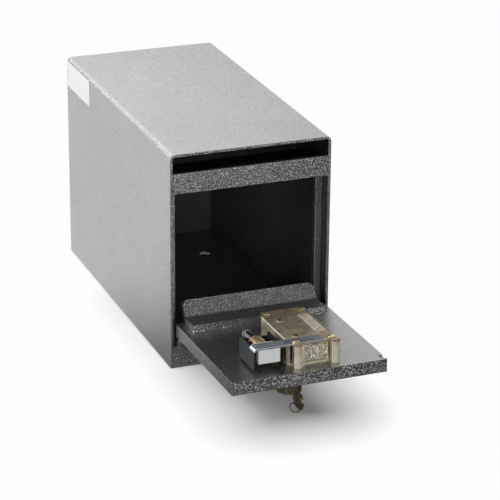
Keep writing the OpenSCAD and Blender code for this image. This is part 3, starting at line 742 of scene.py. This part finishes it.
def stipple_tree():
    """Low domes in rows over a rectangle, as a plain cast grip pattern."""
    tree, entry = new_tree("stippled_pad", (("Width", "Float"), ("Length", "Float"), ("Across", "Int"),
                                            ("Along", "Int"), ("Radius", "Float"), ("Coat", "Material")))
    grid = add(tree, "GeometryNodeMeshGrid", {"Size X": entry["Width"], "Size Y": entry["Length"],
                                              "Vertices X": entry["Across"], "Vertices Y": entry["Along"]})
    dome = add(tree, "GeometryNodeMeshIcoSphere", {"Radius": entry["Radius"], "Subdivisions": 2})
    size = add(tree, "FunctionNodeRandomValue", {2: 0.75, 3: 1.0, "Seed": 11}, data_type="FLOAT")
    domes = add(tree, "GeometryNodeInstanceOnPoints",
                {"Points": grid.outputs["Mesh"], "Instance": dome.outputs["Mesh"],
                 "Scale": size.outputs[1]})
    closed_tree(tree, domes.outputs[0])
    return tree


def stippled_pad():
    """The lid's raised pad carries a plain stipple and no words."""
    pad_w, pad_l, pad_x, pad_front, pad_top = 10 * MM, 42 * MM, 24 * MM, 0.5 * MM, 22.4 * MM
    margin = 1.2 * MM
    radius = 0.7 * MM
    sunk = 0.35 * radius
    middle = Matrix.Translation((pad_x, pad_front + pad_l / 2, pad_top - sunk))
    piece = grown("pad_stipple", stipple_tree(), points_mesh([(0, 0, 0)]),
                  {"Width": pad_w - 2 * margin, "Length": pad_l - 2 * margin, "Across": 5, "Along": 24,
                   "Radius": radius, "Coat": wear_and_painted_highlight}, ON_LOCK @ middle)
    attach(piece, "door")


def sheared_edge():
    """The lid's left edge, turned up a little by the shears, with a painted highlight along it."""
    near, lip, proud, rounding = 0.1 * MM, 0.8 * MM, 0.12 * MM, 0.08 * MM
    back = ON_LOCK.inverted()
    corners = [back @ vertex.co for vertex in nodes["lock_lid"].data.vertices]
    left = min(corner.x for corner in corners if corner.y > 0)
    along = [corner.y for corner in corners
             if abs(corner.x - left) < near and abs(corner.z - LID_TOP) < near]
    outline = [(left - proud, LID_TOP - lip), (left - proud, LID_TOP), (left, LID_TOP + proud),
               (left + lip, LID_TOP + proud), (left + lip, LID_TOP - lip)]
    edge = placed(prism(outline, min(along), max(along), "Y"), "sheared_edge", ON_LOCK)
    finished(eased(edge, rounding), wear_and_painted_highlight, "door", "nickel_casting")


# Relocker

def relock_bracket():
    """Pressed strip: a strap over the lock, bent down into a box that guides the relock bolt."""
    strap_foot = LID_TOP - STRAP_T
    low, high = box_from(ON_DOOR, "relock_bracket")
    left, right, front = low.x, low.x + BOX_W, low.y
    rear = front + BOX_L
    bend, channel_edge, strap_edge = 1.2 * MM, 0.35 * MM, 0.3 * MM
    outer = bend + STRAP_T
    shoulder = LID_TOP - outer
    # Plan of the folded channel, outside and inside, with its foot and its top at each place
    corners = [((left, front), (left + STRAP_T, front)),
               ((left, front + STRAP_W), (left + STRAP_T, front + STRAP_W))]
    tops = [shoulder, shoulder]
    corners.append(corners[-1])
    tops.append(LID_TOP)
    turn_l, turn_r = (left + outer, rear - outer), (right - outer, rear - outer)
    left_bend = list(zip(arc(turn_l, outer, 180, 90), arc(turn_l, bend, 180, 90)))
    right_bend = list(zip(arc(turn_r, outer, 90, 0), arc(turn_r, bend, 90, 0)))
    corners.append(left_bend[0])
    tops.append(LID_TOP)
    corners += left_bend + right_bend
    tops += [BOX_REAR_H] * (len(left_bend) + len(right_bend))
    corners.append(right_bend[-1])
    tops.append(LID_TOP)
    corners += [((right, front + STRAP_W), (right - STRAP_T, front + STRAP_W))] * 2
    tops += [LID_TOP, strap_foot]
    corners.append(((right, front), (right - STRAP_T, front)))
    tops.append(strap_foot)
    work = folded_channel(corners, BOX_FOOT, tops)
    piece = placed(work, "relock_channel", ON_DOOR)
    # Painted dark reflection: the channel is drawn dark, and its rounded edges get a painted highlight
    channel = eased(piece, channel_edge, coats=(painted_dark_reflection_zinc, milled_and_edge_highlight))
    finished(channel, painted_dark_reflection_zinc, "door", "zinc_plate", "relock_bracket")
    # The strap: a strip bent over from the left plate
    bent = arc((left + outer, LID_TOP - outer), outer, 180, 90, 8)
    inner = arc((left + outer, LID_TOP - outer), bend, 180, 90, 8)
    outline = bent + [(high.x, LID_TOP), (high.x, strap_foot)] + inner[::-1]
    strap = placed(prism(outline, front, front + STRAP_W, "Y"), "relock_strap", ON_DOOR)
    # The strap's rounded edges get a painted highlight
    finished(eased(strap, strap_edge, coats=(zinc, milled_and_edge_highlight)), zinc, "door", "zinc_plate")


def folded_channel(corners, foot, tops):
    """A standing sheet along pairs of outer and inner places, each pair with its own top."""
    work = bmesh.new()
    columns = []
    for (outer, inner), top in zip(corners, tops):
        places = ((*outer, foot), (*outer, top), (*inner, top), (*inner, foot))
        columns.append([work.verts.new(place) for place in places])
    for a, b in zip(columns, columns[1:]):
        for i in range(4):
            j = (i + 1) % 4
            # Where only the top steps, the sides below it have no width
            if (a[i].co - b[i].co).length < SAME_SPOT and (a[j].co - b[j].co).length < SAME_SPOT:
                continue
            work.faces.new((a[i], b[i], b[j], a[j]))
    work.faces.new(columns[0])
    work.faces.new(reversed(columns[-1]))
    return work


def coil_tree():
    """A round wire wound along Y, its end turns closed up as on a ground spring."""
    tree, entry = new_tree("wound_wire", (("Radius", "Float"), ("Wire", "Float"), ("Turns", "Float"),
                                          ("Length", "Float"), ("Closed share", "Float"), ("Points", "Int"),
                                          ("Coat", "Material")))
    line = add(tree, "GeometryNodeCurvePrimitiveLine", {"End": (0.0, 1.0, 0.0)})
    line = add(tree, "GeometryNodeResampleCurve", {"Curve": line.outputs[0], "Count": entry["Points"]})
    share = add(tree, "GeometryNodeSplineParameter").outputs["Factor"]
    angle = maths(tree, "MULTIPLY", share, entry["Turns"])
    angle = maths(tree, "MULTIPLY", angle, 2 * math.pi)
    across = maths(tree, "MULTIPLY", maths(tree, "COSINE", angle), entry["Radius"])
    upward = maths(tree, "MULTIPLY", maths(tree, "SINE", angle), entry["Radius"])
    slow_ends = add(tree, "ShaderNodeMapRange", {"Value": share}, interpolation_type="SMOOTHSTEP")
    along = add(tree, "ShaderNodeMix", {"Factor": entry["Closed share"], 2: share,
                                        3: slow_ends.outputs["Result"]}, data_type="FLOAT")
    along = maths(tree, "MULTIPLY", along.outputs[0], entry["Length"])
    spot = add(tree, "ShaderNodeCombineXYZ", {"X": across, "Y": along, "Z": upward})
    helix = add(tree, "GeometryNodeSetPosition", {"Geometry": line.outputs[0], "Position": spot.outputs[0]})
    ring = add(tree, "GeometryNodeCurvePrimitiveCircle", {"Resolution": 12, "Radius": entry["Wire"]})
    tube = add(tree, "GeometryNodeCurveToMesh", {"Curve": helix.outputs[0], "Profile Curve": ring.outputs[0],
                                                 "Fill Caps": True})
    closed_tree(tree, tube.outputs[0])
    return tree


def relock_spring(tree):
    """The spring behind the relock bolt, drawn at one length; in the safe it stretches as the bolt springs
    forward.
    """
    low, high = box_from(ON_DOOR, "relock_spring")
    middle = (low + high) / 2
    length = high.y - low.y - 2 * SPRING_WIRE_R
    closed_share, steps_a_turn = 0.35, 28
    start = Matrix.Translation((RELOCK_X, low.y + SPRING_WIRE_R, middle.z))
    piece = grown("relock_coil", tree, points_mesh([(0, 0, 0)]),
                  {"Radius": SPRING_R, "Wire": SPRING_WIRE_R, "Turns": float(SPRING_TURNS), "Length": length,
                   "Closed share": closed_share, "Points": steps_a_turn * SPRING_TURNS, "Coat": gold},
                  ON_DOOR @ start)
    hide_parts("relock_spring")
    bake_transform(piece)


def relock_head():
    """The domed nut on the spindle's end."""
    low, high = box_from(ON_DOOR, "relock_head")
    middle = (low + high) / 2
    radius, height = 4 * MM, high.y - low.y
    lip = 0.35 * MM
    brim, rise = 0.3 * height, 0.7 * height
    dome = [(radius * math.cos(math.radians(a)), brim + rise * math.sin(math.radians(a)))
            for a in range(10, 90, 10)]
    profile = [(0, 0), (radius - lip, 0), (radius, lip), (radius, brim)] + dome + [(0, height)]
    place = (ON_DOOR @ Matrix.Translation((RELOCK_X, low.y, middle.z))
             @ Matrix.Rotation(-math.pi / 2, 4, "X"))
    piece = eased(placed(lathe(profile), "domed_nut", place), 0)
    finished(piece, zinc, "relocker", "zinc_plate", "relock_head")


# Key, ring and label

def key_outline():
    """Half-round ended bow, across the key's flat, in the lock's frame (Y, Z)."""
    low, high = box_from(ON_LOCK, "key")
    reach = (BOW_L - BOW_H) / 2
    middle = Vector((low.y + BOW_L / 2, low.z + BOW_H / 2))
    radius = BOW_H / 2
    front = arc((middle.x - reach, middle.y), radius, 90, 270, 24)
    back = arc((middle.x + reach, middle.y), radius, -90, 90, 24)
    return middle, front + back, high.z


def flat_piece(name, outlines, thickness, edge, place):
    """A flat plate from closed outlines, inner ones as holes, with rounded edges."""
    curve = bpy.data.curves.new(name + "_outline", "CURVE")
    curve.dimensions = "2D"
    curve.fill_mode = "BOTH"
    curve.extrude = thickness / 2 - edge
    curve.bevel_depth = edge
    curve.bevel_resolution = 2
    curve.offset = -edge
    for outline in outlines:
        spline = curve.splines.new("POLY")
        spline.points.add(len(outline) - 1)
        for point, spot in zip(spline.points, outline):
            point.co = (spot[0], spot[1], 0, 1)
        spline.use_cyclic_u = True
    source = object_from(name + "_outline", curve)
    graph = bpy.context.evaluated_depsgraph_get()
    mesh = bpy.data.meshes.new_from_object(source.evaluated_get(graph), depsgraph=graph)
    bpy.data.objects.remove(source)
    work = bmesh.new()
    work.from_mesh(mesh)
    return placed(work, name, place)


def key():
    """The key in the barrel: a bow with a raised rim, a shank and a blade in the keyway."""
    middle, bow, blade_top = key_outline()
    hole_r = 2.1 * MM
    hole_back, hole_down = 4 * MM, 4.5 * MM
    ring_hole = (middle.x + hole_back, middle.y - hole_down)
    hole = arc(ring_hole, hole_r, 0, 345, 23)
    neck_l, neck_r = -5.5 * MM, 3.5 * MM
    blade = 2.8 * MM
    horn_foot, play = -28 * MM, 0.3 * MM
    shoulder = horn_foot - play
    # The shank is a little thinner than the bow, and the rim stands a little proud of it
    step, bow_edge, shank_edge = 0.05 * MM, 0.3 * MM, 0.2 * MM
    rim_outside, rim_inside, rim_t, rim_edge = 0.9 * MM, 2.3 * MM, 0.3 * MM, 0.1 * MM
    # YZ of the lock's frame become the plate's own XY, and its thickness lies along X
    stand = ON_LOCK @ Matrix(((0, 0, 1, 0), (1, 0, 0, 0), (0, 1, 0, 0), (0, 0, 0, 1)))
    bow_piece = flat_piece("key_bow", [bow, hole], KEY_T, bow_edge, stand)
    shank = [(neck_l, middle.y), (neck_r, middle.y), (neck_r, shoulder), (blade, shoulder),
             (blade, blade_top), (-blade, blade_top), (-blade, shoulder), (neck_l, shoulder)]
    shank_piece = flat_piece("key_blade", [shank], KEY_T - step, shank_edge, stand)
    rim = [flat_outline(bow, rim_outside, middle), flat_outline(bow, rim_inside, middle)]
    rims = []
    for side in (-1, 1):
        lift = stand @ Matrix.Translation((0, 0, side * (KEY_T / 2 + step)))
        rims.append(flat_piece("key_rim", rim, rim_t, rim_edge, lift))
    joined = merged("door_key", [bow_piece, shank_piece] + rims)
    finished(eased(joined, 0), alloy, "key", "key_alloy", "key")


def flat_outline(outline, inset, middle):
    """The outline drawn in towards its middle by inset."""
    made = []
    for a, b in outline:
        way = Vector((a - middle.x, b - middle.y))
        shrink = 1 - inset / way.length
        made.append((middle.x + way.x * shrink, middle.y + way.y * shrink))
    return made


def merged(name, parts):
    """One object from several, their meshes kept as they are."""
    work = bmesh.new()
    for part in parts:
        work.from_mesh(part.data)
        bpy.data.objects.remove(part)
    mesh = bpy.data.meshes.new(name)
    work.to_mesh(mesh)
    work.free()
    return object_from(name, mesh)


def split_ring(tree):
    """A split ring of two close turns through the key's hole."""
    vertices = [vertex.co for vertex in nodes["key_ring"].data.vertices]
    centre = sum(vertices, Vector()) / len(vertices)
    hole = Vector(joints["ring_swing"]["pos_m"])
    # The ring's axis is square to X and to the way from the hole to the centre
    way = Vector((0, centre.y - hole.y, centre.z - hole.z)).normalized()
    normal = Vector((1, 0, 0)).cross(way)
    side = normal.cross(way)
    wire, length = 0.5 * MM, 1.02 * MM
    turns, steps_a_turn = 2, 48
    turn = Matrix((side, normal, way)).transposed().to_4x4()
    place = Matrix.Translation(centre) @ turn @ Matrix.Translation((0, -length / 2, 0))
    piece = grown("split_ring", tree, points_mesh([(0, 0, 0)]),
                  {"Radius": RING_R, "Wire": wire, "Turns": float(turns), "Length": length,
                   "Closed share": 0.0, "Points": turns * steps_a_turn + 1, "Coat": alloy}, place)
    finished(piece, alloy, "key_ring", "key_alloy", "key_ring")


def side_label():
    """A blank sticker with rounded corners."""
    low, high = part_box("side_label")
    radius, rounding = 2.2 * MM, 0.04 * MM
    corners = []
    for cy, cz, start in ((high.y, high.z, 0), (low.y, high.z, 90),
                          (low.y, low.z, 180), (high.y, low.z, 270)):
        inward = (cy - math.copysign(radius, cy - (low.y + high.y) / 2),
                  cz - math.copysign(radius, cz - (low.z + high.z) / 2))
        corners += arc(inward, radius, start, start + 90, 6)
    piece = placed(prism(corners, low.x, high.x), "blank_sticker")
    finished(eased(piece, rounding, 1), paper, "safe_body", "label_paper", "side_label")


# Studio

def seen_share(tree):
    """The light path, and 1 for what the camera sees itself or in a mirror or pane, 0 for the
    rest."""
    path = add(tree, "ShaderNodeLightPath").outputs
    seen = maths(tree, "MAXIMUM", path["Is Camera Ray"], path["Is Glossy Ray"])
    return path, maths(tree, "MAXIMUM", seen, path["Is Transmission Ray"])


def floor_paper():
    """White paper, backlit where the camera sees it, grey in the light it throws back."""
    made, tree, place = material("floor_paper")
    path, seen = seen_share(tree)
    along = add(tree, "ShaderNodeSeparateXYZ", {0: place}).outputs["Y"]
    # Metal mirrors white paper behind the safe and, in front of it, paper with a painted shade
    mirrored = ramp(tree, along, linear("303030"), linear("fafafa"), -0.25, 0.1)
    # The safe's foot and the shade under the door: middle, half size, and how far each fades
    foot = ((0.0, 0.0, 0.0), (0.074, 0.15, 1.0), 0.004)
    shade = ((-0.01, -0.14, 0.0), (0.02, 0.14, 1.0), 0.075)
    aways = []
    for middle, half, fade in (foot, shade):
        off = vectors(tree, "ABSOLUTE", vectors(tree, "SUBTRACT", place, middle))
        off = vectors(tree, "MAXIMUM", vectors(tree, "SUBTRACT", off, half), (0, 0, 0))
        gap = add(tree, "ShaderNodeVectorMath", {0: off}, operation="LENGTH").outputs["Value"]
        aways.append(between(tree, gap, 0.0, 1.0, 0.0, fade))
    # Painted shade: the paper under the safe is dark, so that the anchor holes show as holes
    open_floor = ramp(tree, aways[0], linear("161616"), linear("f4f4f4"))
    near = mixed(tree, path["Is Camera Ray"], mirrored, open_floor)
    lit = add(tree, "ShaderNodeBsdfDiffuse", {"Color": mixed(tree, seen, linear("8c8c8c"), near)})
    glow = add(tree, "ShaderNodeEmission", {"Strength": 1.0})
    # Seen by the camera, the paper is backlit, but for those two places
    backlit, backlit_mirrored = 0.97, 0.98
    share = maths(tree, "MULTIPLY", aways[0], aways[1])
    share = maths(tree, "MULTIPLY", share, backlit)
    share = maths(tree, "MULTIPLY", share, path["Is Camera Ray"])
    # Behind the safe metal mirrors that light too
    behind = between(tree, along, 0.0, backlit_mirrored, -0.1, 0.1)
    share = maths(tree, "MAXIMUM", share, maths(tree, "MULTIPLY", behind, path["Is Glossy Ray"]))
    paper_mix = add(tree, "ShaderNodeMixShader", {0: share, 1: lit.outputs[0], 2: glow.outputs[0]})
    add(tree, "ShaderNodeOutputMaterial", {"Surface": paper_mix.outputs[0]})
    return made


def floor():
    """A level sheet of paper, far larger than the picture."""
    mesh = bpy.data.meshes.new("studio_floor")
    reach = 6.0
    mesh.from_pydata([(-reach, -reach, 0), (reach, -reach, 0), (reach, reach, 0), (-reach, reach, 0)],
                     [], [(0, 1, 2, 3)])
    sheet = object_from("studio_floor", mesh)
    sheet.data.materials.append(floor_paper())


def surround():
    """White all round for the camera; the lamps do most of the lighting."""
    world = bpy.data.worlds.new("white_surround")
    bpy.context.scene.world = world
    world.use_nodes = True
    tree = world.node_tree
    tree.nodes.clear()
    path, seen = seen_share(tree)
    # The room behind the camera is dim, so that front faces mirror less than the back's white
    # paper; the fill is what the surround throws on the safe
    dim_room, fill = 0.13, 0.16
    way = add(tree, "ShaderNodeSeparateXYZ", {0: add(tree, "ShaderNodeTexCoord").outputs["Generated"]})
    mirrored = between(tree, way.outputs["Y"], dim_room, 1.0, -0.2, 0.6)
    direct = maths(tree, "MAXIMUM", mirrored, path["Is Camera Ray"])
    level = between(tree, seen, fill, direct)
    back = add(tree, "ShaderNodeBackground", {"Color": (1, 1, 1, 1), "Strength": level})
    add(tree, "ShaderNodeOutputWorld", {"Surface": back.outputs[0]})


def lamps():
    """Soft lamps behind, on the left and low in front."""
    aimed_at = Vector((0, -0.05, 0.08))
    # Each lamp's place, its side and its power in watts
    for name, place, side, power in (
            ("back_softbox", (-0.3, 1.4, 1.5), 2.0, 10),
            ("left_softbox", (-2.0, 0.0, 0.85), 1.9, 38),
            ("rim_light", (-0.75, 1.7, 0.8), 0.35, 2.5),
            ("right_fill", (1.1, -1.9, 0.45), 0.8, 6),
            ("door_fill", (-0.22, -0.85, 0.15), 0.6, 1.6)):
        lamp = bpy.data.lights.new(name, "AREA")
        lamp.shape = "SQUARE"
        lamp.size = side
        lamp.energy = power
        stand = object_from(name, lamp)
        stand.location = place
        stand.rotation_euler = (aimed_at - Vector(place)).to_track_quat("-Z", "Y").to_euler()


def camera():
    """The photograph's own viewpoint, worked out from the body's straight edges."""
    yaw, pitch, roll = math.radians(-21.3755), math.radians(-21.9871), math.radians(0.5137)
    focal_px, picture_px, sensor = 2327.9, 500, 36.0
    forward = Vector((-math.sin(yaw) * math.cos(pitch), math.cos(yaw) * math.cos(pitch), math.sin(pitch)))
    right = forward.cross(Vector((0, 0, 1))).normalized()
    up = right.cross(forward)
    level_right = math.cos(roll) * right + math.sin(roll) * up
    level_up = math.cos(roll) * up - math.sin(roll) * right
    lens = bpy.data.cameras.new("studio_camera")
    lens.sensor_width = sensor
    lens.lens = focal_px * sensor / picture_px
    lens.clip_end = 20
    lens.dof.use_dof = False
    eye = object_from("studio_camera", lens)
    turn = Matrix((level_right, level_up, -forward)).transposed().to_4x4()
    stand = (-0.70394, -1.94870, 0.88352)
    eye.matrix_world = Matrix.Translation(stand) @ turn
    bpy.context.scene.camera = eye


camera()
floor()
surround()
lamps()
bpy.context.scene.view_settings.view_transform = "Standard"
eased_pieces()
kept_nodes()
door_guard()
guard_welds()
lid_screws()
stippled_pad()
sheared_edge()
relock_bracket()
wound_wire = coil_tree()
relock_spring(wound_wire)
relock_head()
key()
split_ring(wound_wire)
side_label()
